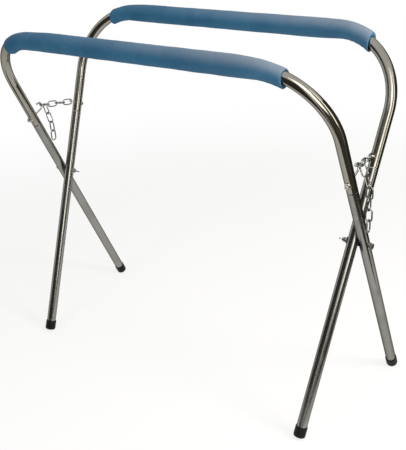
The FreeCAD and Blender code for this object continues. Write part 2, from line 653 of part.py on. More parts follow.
parts = [
    make_frame_tube("outer_frame_tube", OUTER, "0", "Sizes.HalfWidth"),
    make_frame_tube("inner_frame_tube", INNER, "Worked.LegSplay", "Worked.EyeX"),
    make_foam("outer_foam_sleeve", OUTER, "0",
              {"left": "Sizes.FrontLeftAngle", "right": "Sizes.FrontRightAngle"}),
    make_foam("inner_foam_sleeve", INNER, "Worked.LegSplay",
              {"left": "Sizes.RearLeftAngle", "right": "Sizes.RearRightAngle"}),
]
for side, sign in SIDES.items():
    outer_leg = (OUTER, sign, "0", "0", "Worked.OuterFootReach")
    inner_leg = (INNER, sign, "Worked.PivotInset", "Worked.LegSplay", "Worked.InnerFootReach")
    parts.append(make_leg(f"outer_leg_{side}", *outer_leg))
    parts.append(make_leg(f"inner_leg_{side}", *inner_leg))
    parts.append(make_foot(f"outer_foot_{side}", *outer_leg))
    parts.append(make_foot(f"inner_foot_{side}", *inner_leg))

    shank_hole = "Sizes.PivotDiameter / 2 + Sizes.Fit"
    parts.append(make_pivot_bolt(f"pivot_bolt_{side}", sign))
    parts.append(make_ring(
        f"head_washer_{side}", "Sizes.WasherDiameter", shank_hole, "Sizes.WasherThickness",
        pivot_spot(sign, "-Worked.TubeRadius - Sizes.Fit")))
    parts.append(make_ring(
        f"pivot_spacer_{side}", "Sizes.SpacerDiameter", shank_hole,
        "Sizes.LegGap - Worked.SpacerLead - Sizes.Fit",
        pivot_spot(sign, "Worked.TubeRadius + Sizes.LegGap - Worked.SpacerLead")))
    parts.append(make_ring(
        f"nut_washer_{side}", "Sizes.WasherDiameter", shank_hole, "Sizes.WasherThickness",
        pivot_spot(sign, "Worked.NutSeat - Sizes.Fit")))
    parts.append(make_wing_nut(f"wing_nut_{side}", sign))

    nut_seat = "Worked.TubeRadius + Sizes.Fit"
    parts.append(make_hook_bolt(f"hook_bolt_{side}", sign))
    parts.append(make_nut(
        f"hook_nut_{side}", "Sizes.HookWire / 2 + Sizes.Fit",
        OUTER, spot(f"{sign} * Sizes.HalfWidth", f"-({nut_seat})", "Sizes.BoltReach"),
        spot(axis="1; 0; 0", angle="90")))
    parts.append(make_eye_bolt(f"eye_bolt_{side}", sign))
    parts.append(make_nut(
        f"eye_nut_{side}", "Sizes.EyeWire / 2 + Sizes.Fit",
        INNER, spot(f"{sign} * Worked.EyeX", nut_seat, "Sizes.BoltReach"),
        spot(axis="1; 0; 0", angle="-90")))
    parts.extend(make_run(side, sign))
    parts.extend(make_tail(side, sign))

doc.recompute()

for item in doc.Objects:
    if {"Invalid", "Error"} & set(item.State):
        raise RuntimeError(f"{item.Label} did not recompute: {item.State}")
for part in parts:
    if part.Shape.isNull() or not part.Shape.isValid() or not part.Shape.Solids:
        raise RuntimeError(f"{part.Label} has no valid solid")

os.makedirs("parts", exist_ok=True)
for part in parts:
    part.Shape.exportStep(os.path.join("parts", f"{part.Label}.step"))
print(len(parts), "parts written")
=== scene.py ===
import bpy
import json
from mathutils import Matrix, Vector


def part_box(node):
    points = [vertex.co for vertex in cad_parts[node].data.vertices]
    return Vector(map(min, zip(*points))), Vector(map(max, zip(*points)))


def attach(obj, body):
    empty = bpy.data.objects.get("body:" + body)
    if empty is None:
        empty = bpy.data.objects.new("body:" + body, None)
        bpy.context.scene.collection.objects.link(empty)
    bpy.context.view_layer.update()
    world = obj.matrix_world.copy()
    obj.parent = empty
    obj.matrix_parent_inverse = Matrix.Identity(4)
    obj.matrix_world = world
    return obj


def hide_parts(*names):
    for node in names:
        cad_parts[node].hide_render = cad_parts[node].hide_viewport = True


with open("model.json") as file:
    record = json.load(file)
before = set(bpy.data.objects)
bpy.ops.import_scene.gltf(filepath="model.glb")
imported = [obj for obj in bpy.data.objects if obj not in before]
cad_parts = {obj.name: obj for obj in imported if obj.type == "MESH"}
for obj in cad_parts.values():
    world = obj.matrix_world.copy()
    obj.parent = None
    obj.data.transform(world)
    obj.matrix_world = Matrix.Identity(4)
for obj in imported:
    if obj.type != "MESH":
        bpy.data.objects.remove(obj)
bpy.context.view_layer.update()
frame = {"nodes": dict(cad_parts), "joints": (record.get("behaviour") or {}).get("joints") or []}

"""Folding sawhorse: foam sleeves, finishes, small hardware, light and camera."""

import json
import logging
import math
from dataclasses import dataclass, field
from enum import Enum

import bmesh
import bpy
from mathutils import Matrix, Vector, noise

log = logging.getLogger("sawhorse")

Number = float | int
Colour = tuple[float, float, float]
Step = tuple[float, float]

ACROSS = Vector((1.0, 0.0, 0.0))
WHITE = (1.0, 1.0, 1.0, 1.0)


class Side(Enum):
    """Left and right of the stand, as the pieces' names say it."""

    LEFT = "left"
    RIGHT = "right"


class Axis(Enum):
    """Parts of a vector that the finishes read."""

    X = "X"
    Z = "Z"


# ------------------------------------------------------------------ shader building


class Socket:
    """An output socket that takes part in shader arithmetic."""

    def __init__(self, graph: "NodeGraph", source: bpy.types.NodeSocket) -> None:
        """Wrap one value.

        Args:
            graph: The graph that new Math nodes join.
            source: A node's output socket.
        """
        self.graph = graph
        self.source = source

    def _math(self, operation: str, first: "Socket | Number", second: "Socket | Number") -> "Socket":
        """Add one Math node.

        Args:
            operation: The Math node's operation.
            first: Left operand.
            second: Right operand.

        Returns:
            The node's output as a Socket.
        """
        return self.graph.add("ShaderNodeMath", {"operation": operation}, {0: first, 1: second})

    def __add__(self, other: "Socket | Number") -> "Socket":
        """Sum of two values."""
        return self._math("ADD", self, other)

    def __radd__(self, other: Number) -> "Socket":
        """Sum with a number on the left."""
        return self._math("ADD", other, self)

    def __sub__(self, other: "Socket | Number") -> "Socket":
        """Difference of two values."""
        return self._math("SUBTRACT", self, other)

    def __rsub__(self, other: Number) -> "Socket":
        """Difference with a number on the left."""
        return self._math("SUBTRACT", other, self)

    def __mul__(self, other: "Socket | Number") -> "Socket":
        """Product of two values."""
        return self._math("MULTIPLY", self, other)

    def __rmul__(self, other: Number) -> "Socket":
        """Product with a number on the left."""
        return self._math("MULTIPLY", other, self)

    def over(self, edge: Number, width: Number) -> "Socket":
        """Soft step from 0 to 1.

        Args:
            edge: Value at which the step is half way.
            width: Width of the step.

        Returns:
            The stepped value.
        """
        return self.graph.add(
            "ShaderNodeMapRange",
            {"interpolation_type": "SMOOTHSTEP"},
            {"Value": self, "From Min": edge - width / 2, "From Max": edge + width / 2},
        )


class NodeGraph:
    """Node graph of a material or a world."""

    def __init__(self, owner: bpy.types.Material | bpy.types.World, last: str) -> None:
        """Empty the owner's graph and give it its output node.

        Args:
            owner: The material or world.
            last: Type of the output node.
        """
        owner.use_nodes = True
        self.tree = owner.node_tree
        self.tree.nodes.clear()
        self.output = self.node(last)

    def node(self, kind: str, settings: dict | None = None, values: dict | None = None) -> bpy.types.Node:
        """Make one node.

        Args:
            kind: The node's type.
            settings: Properties of the node, set first.
            values: Values or Sockets for its input sockets, by name or index.

        Returns:
            The node.
        """
        node = self.tree.nodes.new(kind)
        for key, value in (settings or {}).items():
            setattr(node, key, value)
        for key, value in (values or {}).items():
            self.feed(node.inputs[key], value)
        return node

    def add(self, kind: str, settings: dict | None = None, values: dict | None = None,
            output: str | int = 0) -> Socket:
        """Make one node and hand back one of its outputs.

        Args:
            kind: The node's type.
            settings: Properties of the node, set first.
            values: Values or Sockets for its input sockets, by name or index.
            output: Which output to hand back.

        Returns:
            The chosen output as a Socket.
        """
        return Socket(self, self.node(kind, settings, values).outputs[output])

    def feed(self, socket: bpy.types.NodeSocket, value: "Socket | Number | tuple") -> None:
        """Link or set one input socket.

        Args:
            socket: The input.
            value: A Socket to link, or a plain value.
        """
        if isinstance(value, Socket):
            self.tree.links.new(value.source, socket)
        else:
            socket.default_value = value

    def end(self, shader: Socket) -> None:
        """Link a shader to the output node.

        Args:
            shader: The shader to show.
        """
        self.feed(self.output.inputs["Surface"], shader)

    def seen(self) -> Socket:
        """Tell the rays that see the background from the light that bounces.

        Returns:
            1 for rays from the camera and from metal or glass, 0 for the others.
        """
        path = self.node("ShaderNodeLightPath")
        camera, glossy, through = (
            Socket(self, path.outputs[f"Is {ray} Ray"]) for ray in ("Camera", "Glossy", "Transmission"))
        return camera + glossy + through


class Graph(NodeGraph):
    """Node graph of one material, ending in a Principled shader."""

    def __init__(self, name: str) -> None:
        """Start a material with nothing but its Principled shader.

        Args:
            name: The material's name.
        """
        self.material = bpy.data.materials.new(name)
        super().__init__(self.material, "ShaderNodeOutputMaterial")
        self.shader = self.node("ShaderNodeBsdfPrincipled")
        self.end(self.surface())

    def set(self, **inputs: "Socket | Number | tuple") -> None:
        """Set the Principled shader's inputs.

        Args:
            inputs: Values by socket name, with underscores for spaces.
        """
        for key, value in inputs.items():
            self.feed(self.shader.inputs[key.replace("_", " ")], value)

    def surface(self) -> Socket:
        """The Principled shader's output."""
        return Socket(self, self.shader.outputs[0])

    def place(self) -> Socket:
        """Position on the object, in metres."""
        return self.add("ShaderNodeTexCoord", output="Object")

    def part(self, vector: Socket, axis: Axis) -> Socket:
        """One part of a vector."""
        return self.add("ShaderNodeSeparateXYZ", None, {0: vector}, axis.value)

    def noise(self, scale: float, detail: float, rough: float) -> Socket:
        """Noise over the object's own coordinates.

        Args:
            scale: Features per metre.
            detail: Octaves.
            rough: Weight of the fine octaves.

        Returns:
            A value from 0 to 1.
        """
        return self.add("ShaderNodeTexNoise", None,
                        {"Vector": self.place(), "Scale": scale, "Detail": detail, "Roughness": rough})

    def mix(self, factor: "Socket | Number", low: "Socket | Colour", high: "Socket | Colour") -> Socket:
        """Blend two colours.

        Args:
            factor: 0 gives low, 1 gives high.
            low: First colour.
            high: Second colour.

        Returns:
            The blended colour.
        """
        low, high = ((*colour, 1.0) if isinstance(colour, tuple) else colour for colour in (low, high))
        return self.add("ShaderNodeMix", {"data_type": "RGBA"}, {0: factor, 6: low, 7: high}, 2)

    def bump(self, height: Socket, distance: float, strength: float) -> Socket:
        """Normal bent by a height.

        Args:
            height: Height, usually from 0 to 1.
            distance: Height in metres that 1 stands for.
            strength: How far the bump shows.

        Returns:
            The normal.
        """
        return self.add("ShaderNodeBump", None,
                        {"Height": height, "Distance": distance, "Strength": strength})


class Finish:
    """Base of the finishes: makes its material once and dresses objects with it."""

    name = "finish"

    def build(self, graph: Graph) -> None:
        """Fill the material's graph.

        Args:
            graph: The graph to fill.
        """
        raise NotImplementedError

    def material(self) -> bpy.types.Material:
        """Find the finish's material, or make it on first use.

        Returns:
            The material.
        """
        known = bpy.data.materials.get(self.name)
        if known:
            return known
        graph = Graph(self.name)
        self.build(graph)
        return graph.material

    def dress(self, piece: bpy.types.Object) -> None:
        """Give a piece this finish.

        Args:
            piece: The object to dress.
        """
        material = self.material()
        if not piece.material_slots:
            piece.data.materials.append(material)
        for slot in piece.material_slots:
            slot.material = material
        log.info("%s dressed in %s", piece.name, self.name)


@dataclass(frozen=True)
class PlatedTube(Finish):
    """Bright plated steel tube with cloudy handling haze, small dull spots and a faint warm tint."""

    name: str = "plated_tube"
    bright: Colour = (0.32, 0.307, 0.267)
    tarnish: Colour = (0.22, 0.21, 0.175)
    rim: tuple[float, float, float, float] = (0.20, 0.187, 0.16, 1.0)
    polish: float = 0.11
    haze: float = 0.12
    spot_haze: float = 0.05
    cloud_scale: float = 14.0
    cloud_step: Step = (0.56, 0.22)
    spot_scale: float = 160.0
    spot_step: Step = (0.66, 0.14)
    wave_scale: float = 90.0
    wave_height: float = 0.00004

    def build(self, graph: Graph) -> None:
        """Fill the material's graph.

        Args:
            graph: The graph to fill.
        """
        clouds = graph.noise(self.cloud_scale, 4.0, 0.6)
        spots = graph.noise(self.spot_scale, 3.0, 0.6)
        worn = clouds.over(*self.cloud_step)
        fine = spots.over(*self.spot_step)
        colour = graph.mix(worn * 0.4 + fine * 0.3, self.bright, self.tarnish)
        graph.set(
            Base_Color=colour, Metallic=1.0, Specular_Tint=self.rim,
            Roughness=self.polish + worn * self.haze + fine * self.spot_haze,
            Normal=graph.bump(graph.noise(self.wave_scale, 2.0, 0.5), self.wave_height, 0.2))


@dataclass(frozen=True)
class FoamSkin(Finish):
    """Closed-cell foam: matt blue skin with fine cells, mottling and dusty patches, plus painted light: a
    painted sheen that greys upward faces, more so towards +X, and a painted lightening towards +X.
    """

    name: str = "foam_skin"
    deep: Colour = (0.004, 0.088, 0.192)
    pale: Colour = (0.020, 0.124, 0.242)
    dust: Colour = (0.30, 0.33, 0.37)
    # Light grey that the painted sheen and the painted lightening mix into the skin.
    painted_light_grey: Colour = (0.22, 0.235, 0.27)
    patch_scale: float = 11.0
    patch_step: Step = (0.5, 0.5)
    grain_scale: float = 900.0
    cell_scale: float = 620.0
    cell_depth: float = 0.00032
    dust_scale: float = 45.0
    dust_step: Step = (0.66, 0.2)
    # Steps of the painted sheen (upward faces, +X side) and of the painted lightening towards +X.
    top_step: Step = (0.45, 1.1)
    right_step: Step = (0.10, 0.9)
    length_step: Step = (-0.45, 0.6)
    end_step: Step = (0.2, 0.3)

    def build(self, graph: Graph) -> None:
        """Fill the material's graph.

        Args:
            graph: The graph to fill.
        """
        patches = graph.noise(self.patch_scale, 4.0, 0.6)
        grain = graph.noise(self.grain_scale, 2.0, 0.6)
        cells = graph.add("ShaderNodeTexVoronoi", {"feature": "F1"},
                          {"Vector": graph.place(), "Scale": self.cell_scale})
        tint = graph.mix(patches.over(*self.patch_step), self.deep, self.pale)
        dusty = graph.noise(self.dust_scale, 5.0, 0.7).over(*self.dust_step)
        worn = graph.mix(dusty * 0.08 + grain * 0.03, tint, self.dust)
        upward = graph.part(graph.add("ShaderNodeNewGeometry", output="Normal"), Axis.Z)
        right = graph.part(graph.place(), Axis.X)
        # Painted sheen: upward-facing skin turns grey, more so towards +X.
        painted_top_sheen = upward.over(*self.top_step) * (0.10 + right.over(*self.right_step) * 0.48)
        # Painted light: the skin gets lighter towards +X, standing in for lamp falloff.
        painted_light_falloff = right.over(*self.length_step) * 0.05 + right.over(*self.end_step) * 0.06
        # The painted sheen and painted lightening pull the skin towards light grey.
        colour = graph.mix(painted_top_sheen * (0.75 + patches * 0.5) + painted_light_falloff, worn, self.painted_light_grey)
        graph.set(
            Base_Color=colour, Roughness=0.62 + grain * 0.16, IOR=1.45, Specular_IOR_Level=0.16,
            Sheen_Weight=0.05, Sheen_Roughness=0.4, Sheen_Tint=(1.0, 0.95, 0.92, 1.0),
            Normal=graph.bump(cells * 0.6 + grain * 0.4, self.cell_depth, 0.6))


@dataclass(frozen=True)
class RubberCap(Finish):
    """Moulded black rubber, scuffed grey where it meets the floor."""

    name: str = "rubber_cap"
    black: Colour = (0.004, 0.004, 0.0042)
    scuff: Colour = (0.055, 0.052, 0.05)
    floor_step: Step = (0.006, 0.010)
    mark_scale: float = 300.0
    mark_step: Step = (0.52, 0.2)
    grain_scale: float = 700.0
    grain_depth: float = 0.00012

    def build(self, graph: Graph) -> None:
        """Fill the material's graph.

        Args:
            graph: The graph to fill.
        """
        low = 1.0 - graph.part(graph.place(), Axis.Z).over(*self.floor_step)
        marks = graph.noise(self.mark_scale, 4.0, 0.65).over(*self.mark_step)
        worn = low * 0.8 * marks + marks * 0.1
        graph.set(
            Base_Color=graph.mix(worn, self.black, self.scuff), IOR=1.5, Specular_IOR_Level=0.15,
            Roughness=0.48 + worn * 0.3,
            Normal=graph.bump(graph.noise(self.grain_scale, 2.0, 0.5), self.grain_depth, 0.5))


@dataclass(frozen=True)
class SmallSteel(Finish):
    """Zinc-plated wire and fasteners: grey, uneven sheen, darker in patches."""

    name: str = "small_steel"
    bright: Colour = (0.72, 0.71, 0.66)
    dark: Colour = (0.22, 0.215, 0.19)
    rim: tuple[float, float, float, float] = (0.18, 0.18, 0.17, 1.0)
    roughness: float = 0.22
    patch_scale: float = 260.0
    patch_step: Step = (0.54, 0.24)
    grain_scale: float = 1500.0
    grain_depth: float = 0.00005

    def build(self, graph: Graph) -> None:
        """Fill the material's graph.

        Args:
            graph: The graph to fill.
        """
        dull = graph.noise(self.patch_scale, 4.0, 0.65).over(*self.patch_step)
        graph.set(
            Base_Color=graph.mix(dull * 0.75, self.bright, self.dark), Metallic=1.0,
            Specular_Tint=self.rim, Roughness=self.roughness + dull * 0.2,
            Normal=graph.bump(graph.noise(self.grain_scale, 2.0, 0.5), self.grain_depth, 0.4))


@dataclass(frozen=True)
class BlackPlastic(Finish):
    """Dark moulded spacer between the legs."""

    name: str = "black_plastic"
    black: Colour = (0.015, 0.015, 0.015)
    grey: Colour = (0.05, 0.05, 0.05)
    grain_scale: float = 800.0
    grain_depth: float = 0.00008

    def build(self, graph: Graph) -> None:
        """Fill the material's graph.

        Args:
            graph: The graph to fill.
        """
        grain = graph.noise(self.grain_scale, 2.0, 0.5)
        graph.set(
            Base_Color=graph.mix(grain * 0.3, self.black, self.grey),
            Roughness=0.42 + grain * 0.2, Normal=graph.bump(grain, self.grain_depth, 0.4))


@dataclass(frozen=True)
class Backdrop(Finish):
    """Pale floor, raised towards white for the camera and the metal, that keeps a soft shadow.

    It is raised less near the stand, where the shadow lies, and fully in the distance. Near and
    far are distances from the stand's middle.
    """

    name: str = "backdrop"
    near_lift: float = 0.80
    far_lift: float = 1.0
    near: float = 0.9
    far: float = 2.4
    glow: float = 1.0
    pale: Colour = (0.90, 0.90, 0.89)

    def build(self, graph: Graph) -> None:
        """Fill the material's graph.

        Args:
            graph: The graph to fill.
        """
        graph.set(Base_Color=(*self.pale, 1.0), Roughness=0.9)
        seen = graph.seen()
        reach = graph.add("ShaderNodeVectorMath", {"operation": "LENGTH"}, {0: graph.place()}, "Value")
        lift = graph.add("ShaderNodeMapRange", {"interpolation_type": "SMOOTHSTEP"},
                         {"Value": reach, "From Min": self.near, "From Max": self.far,
                          "To Min": self.near_lift, "To Max": self.far_lift})
        white = graph.add("ShaderNodeEmission", None, {"Color": WHITE, "Strength": self.glow})
        graph.end(graph.add("ShaderNodeMixShader", None, {0: seen * lift, 1: graph.surface(), 2: white}))


@dataclass(frozen=True)
class DarkCard(Finish):
    """Matt dark card that shows only in reflections, to give the metal its dark bands."""

    name: str = "dark_card"
    dark: Colour = (0.035, 0.033, 0.028)
    worn: Colour = (0.06, 0.056, 0.048)
    cloth_scale: float = 3.0

    def build(self, graph: Graph) -> None:
        """Fill the material's graph.

        Args:
            graph: The graph to fill.
        """
        cloth = graph.noise(self.cloth_scale, 3.0, 0.6)
        graph.set(Base_Color=graph.mix(cloth, self.dark, self.worn), Roughness=0.95)


PLATED = PlatedTube()
LOWER = PlatedTube(name="dull_tube", bright=(0.29, 0.286, 0.269), tarnish=(0.23, 0.225, 0.205),
                   polish=0.18, haze=0.12)
FOAM = FoamSkin()
RUBBER = RubberCap()
HARDWARE = SmallSteel()
CHAIN = SmallSteel(name="chain_steel", bright=(0.46, 0.46, 0.44), dark=(0.09, 0.09, 0.083),
                   roughness=0.18)
PIVOT = SmallSteel(name="pivot_steel", bright=(0.40, 0.395, 0.37), dark=(0.12, 0.12, 0.11))
SPACER = BlackPlastic()


# ------------------------------------------------------------------ meshes


def new_piece(name: str, points: list[Vector], faces: list[tuple[int, ...]]) -> bpy.types.Object:
    """Make a smooth-shaded mesh object.

    Args:
        name: The object's name.
        points: Vertices.
        faces: Vertex indices of each face.

    Returns:
        The object, linked to the scene.
    """
    mesh = bpy.data.meshes.new(name)
    mesh.from_pydata([tuple(point) for point in points], [], faces)
    mesh.validate()
    shape = bmesh.new()
    shape.from_mesh(mesh)
    bmesh.ops.recalc_face_normals(shape, faces=shape.faces)
    shape.to_mesh(mesh)
    shape.free()
    mesh.polygons.foreach_set("use_smooth", [True] * len(mesh.polygons))
    piece = bpy.data.objects.new(name, mesh)
    bpy.context.scene.collection.objects.link(piece)
    return piece


def ring_faces(rings: int, around: int) -> list[tuple[int, ...]]:
    """Faces of a skin made of closed rings, the last of which joins the first.

    Args:
        rings: How many rings.
        around: Points in each ring.

    Returns:
        Vertex indices of each face.
    """
    faces = []
    for ring in range(rings):
        start, following = ring * around, (ring + 1) % rings * around
        for step in range(around):
            after = (step + 1) % around
            faces.append((start + step, start + after, following + after, following + step))
    return faces


def bar_of(tube: str, tube_radius: float) -> tuple[Vector, Vector]:
    """Where a frame's padded bar is, and which way the frame rises.

    Args:
        tube: The CAD node of the bent tube.
        tube_radius: Radius of the tube.

    Returns:
        Middle of the bar's centreline, and the frame's upward direction.
    """
    low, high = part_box(tube)
    pivot = next(joint for joint in frame["joints"] if joint["name"] == "fold")["pos_m"]
    height = high.z - tube_radius
    offset = low.y + tube_radius if -low.y > high.y else high.y - tube_radius
    return Vector((0.0, offset, height)), Vector((0.0, offset, height - pivot[2])).normalized()


@dataclass(frozen=True)
class BendFit:
    """How one end of a sleeve sits round its bend.

    Wrap is in degrees; drop, thin and lead are in metres; slip is how nearly a fibre keeps its own
    length round the bend, 0 for not at all and 1 for wholly.
    """

    wrap: float
    drop: float = 0.0026
    thin: float = 0.0036
    lead: float = 0.055
    slip: float = 0.85


@dataclass
class FoamSleeve:
    """Slit foam sleeve round a padded bar, following both bends for a short way."""

    node: str
    tube: str
    body: str
    left: BendFit
    right: BendFit
    corner_turn: float = 90.0
    half_width: float = 0.488
    bend_radius: float = 0.158
    tube_radius: float = 0.0127
    radius: float = 0.023
    bore: float = 0.0142
    bore_drop: float = 0.0013
    edge_round: float = 0.0022
    spacing: float = 0.004
    around: int = 72
    slit_turn: float = math.pi + 0.22
    slit_half: float = 0.0006
    slit_depth: float = 0.0045
    slit_lips: tuple[float, ...] = (-2.4, -1.0, 0.0, 1.0, 2.4)
    slit_clear: float = 3.2
    slit_dent: float = 0.004
    bore_chamfer: float = 0.0009
    end_steps: int = 4
    calm_rings: int = 4
    bore_stretch: int = 3
    broad_lump: tuple[float, float] = (22.0, 0.00055)
    fine_lump: tuple[float, float] = (75.0, 0.00022)
    fold_height: float = 0.0003
    fold_pitch: float = 0.0078
    fold_lead: float = 0.03
    turns: list[float] = field(init=False)
    middle: Vector = field(init=False)
    up: Vector = field(init=False)
    depth: Vector = field(init=False)
    straight: float = field(init=False)
    left_end: float = field(init=False)
    right_end: float = field(init=False)

    def measure(self) -> None:
        """Read the bar's place and tilt from the CAD nodes, and set the ends and the ring's turns."""
        self.middle, self.up = bar_of(self.tube, self.tube_radius)
        self.depth = ACROSS.cross(self.up)
        self.straight = self.half_width - self.bend_radius * math.tan(math.radians(self.corner_turn / 2))
        self.left_end = -self.straight - self.bend_radius * math.radians(self.left.wrap)
        self.right_end = self.straight + self.bend_radius * math.radians(self.right.wrap)
        half = self.slit_half / self.radius
        slit = [self.slit_turn + half * step for step in self.slit_lips]
        even = [2 * math.pi * step / self.around for step in range(self.around)]
        clear = half * self.slit_clear
        self.turns = sorted([turn for turn in even if abs(turn - self.slit_turn) > clear] + slit)

    def bent(self, along: float) -> float:
        """How far the sleeve has settled towards the inside of a bend.

        Args:
            along: Distance along the bar from its middle, +X positive.

        Returns:
            0 on the straight, 1 well into a bend.
        """
        lead = self.fit(along).lead
        part = min(max((abs(along) - self.straight + lead) / (2 * lead), 0.0), 1.0)
        return part * part * (3 - 2 * part)

    def fit(self, along: float) -> BendFit:
        """The fit of the nearer end."""
        return self.left if along < 0 else self.right

    def settled(self, along: float) -> tuple[float, float]:
        """Radius and drop of the sleeve at one place along the bar."""
        bent, fit = self.bent(along), self.fit(along)
        return self.radius - fit.thin * bent, fit.drop * bent

    def spot(self, along: float, out: float, side: float) -> Vector:
        """Place of one fibre of the sleeve, which keeps its length round a bend as far as it slips.

        Args:
            along: Distance along the bar from its middle, +X positive.
            out: Distance from the bar's centreline, away from the inside of the bend.
            side: Distance from the centreline across the frame.

        Returns:
            The fibre's place.
        """
        past = abs(along) - self.straight
        if past <= 0:
            return self.middle + Vector((along, 0.0, 0.0)) + self.up * out + self.depth * side
        sign = 1.0 if along >= 0 else -1.0
        angle = past / (self.bend_radius + self.fit(along).slip * out)
        centre = self.middle + Vector((sign * self.straight, 0.0, 0.0)) - self.up * self.bend_radius
        spoke = Vector((sign * math.sin(angle), 0.0, 0.0)) + self.up * math.cos(angle)
        return centre + spoke * (self.bend_radius + out) + self.depth * side

    def ring(self, along: float, radius: float, drop: float, lumps: float = 0.0,
             groove: float = 0.0, dent: float = 0.0) -> list[Vector]:
        """Points round one section.

        Args:
            along: Where the section is.
            radius: Its radius.
            drop: How far its middle sits towards the inside of the bend.
            lumps: Strength of the unevenness of soft foam.
            groove: Depth of the slit in it.
            dent: How far the slit's point moves along the bar.

        Returns:
            The ring's points.
        """
        points = []
        for turn in self.turns:
            slit = turn == self.slit_turn
            reach = radius - groove * slit
            place = along + dent * slit
            point = self.spot(place, reach * math.cos(turn) - drop, reach * math.sin(turn))
            if lumps:
                reach += lumps * self.unevenness(along, turn, point)
                point = self.spot(place, reach * math.cos(turn) - drop, reach * math.sin(turn))
            points.append(point)
        return points

    def unevenness(self, along: float, turn: float, point: Vector) -> float:
        """How far soft foam stands out at one point, with small folds on the inside of a bend.

        Args:
            along: Distance along the bar from its middle.
            turn: Angle round the section.
            point: The point's place, which picks the lump.

        Returns:
            The height.
        """
        past = abs(along) - self.straight
        fold = max(0.0, -math.cos(turn)) ** 2 * min(max(past, 0.0) / self.fold_lead, 1.0)
        broad, fine = (noise.noise(point * scale) * height
                       for scale, height in (self.broad_lump, self.fine_lump))
        return broad + fine + fold * self.fold_height * math.sin(past / self.fold_pitch * math.pi)

    def end_rows(self, end: float, inward: float) -> list[list[Vector]]:
        """Rings of a square-cut end, from its bore out to its slightly rounded rim.

        Args:
            end: Where the end is along the bar.
            inward: 1 if the sleeve lies towards +X of this end, or -1.

        Returns:
            The rings.
        """
        outer, drop = self.settled(end)
        chamfer = self.bore_chamfer
        dent = inward * self.slit_dent
        rows = [self.ring(end + inward * chamfer, self.bore, self.bore_drop, dent=dent),
                self.ring(end, self.bore + chamfer, self.bore_drop, dent=dent),
                self.ring(end, (self.bore + outer) / 2, (self.bore_drop + drop) / 2, dent=dent)]
        for step in range(self.end_steps + 1):
            part = step / self.end_steps
            turn = math.radians(90 * part)
            reach = outer - self.edge_round * (1 - math.sin(turn))
            depth = self.edge_round * (1 - math.cos(turn))
            rows.append(self.ring(end + inward * depth, reach, drop, groove=self.slit_depth * part,
                                  dent=dent * (1 - part)))
        return rows

    def rows(self) -> list[list[Vector]]:
        """All the rings, over the outside from left to right and back through the bore.

        Returns:
            The rings, the last of which joins the first.
        """
        rows = self.end_rows(self.left_end, 1.0)
        first, last = self.left_end + self.edge_round, self.right_end - self.edge_round
        count = round((last - first) / self.spacing)
        for step in range(1, count):
            along = first + (last - first) * step / count
            lumps = min(min(step, count - step) / self.calm_rings, 1.0)
            rows.append(self.ring(along, *self.settled(along), lumps=lumps, groove=self.slit_depth))
        rows.extend(reversed(self.end_rows(self.right_end, -1.0)))
        count = round((last - first) / (self.spacing * self.bore_stretch))
        for step in range(1, count):
            along = last + (first - last) * step / count
            rows.append(self.ring(along, self.bore, self.bore_drop))
        return rows

    def build(self) -> bpy.types.Object:
        """Build, dress and place the sleeve.

        Returns:
            The sleeve.
        """
        self.measure()
        rows = self.rows()
        faces = ring_faces(len(rows), len(self.turns))
        piece = new_piece(f"{self.node}_skin", [point for row in rows for point in row], faces)
        FOAM.dress(piece)
        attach(piece, self.body)
        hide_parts(self.node)
        return piece


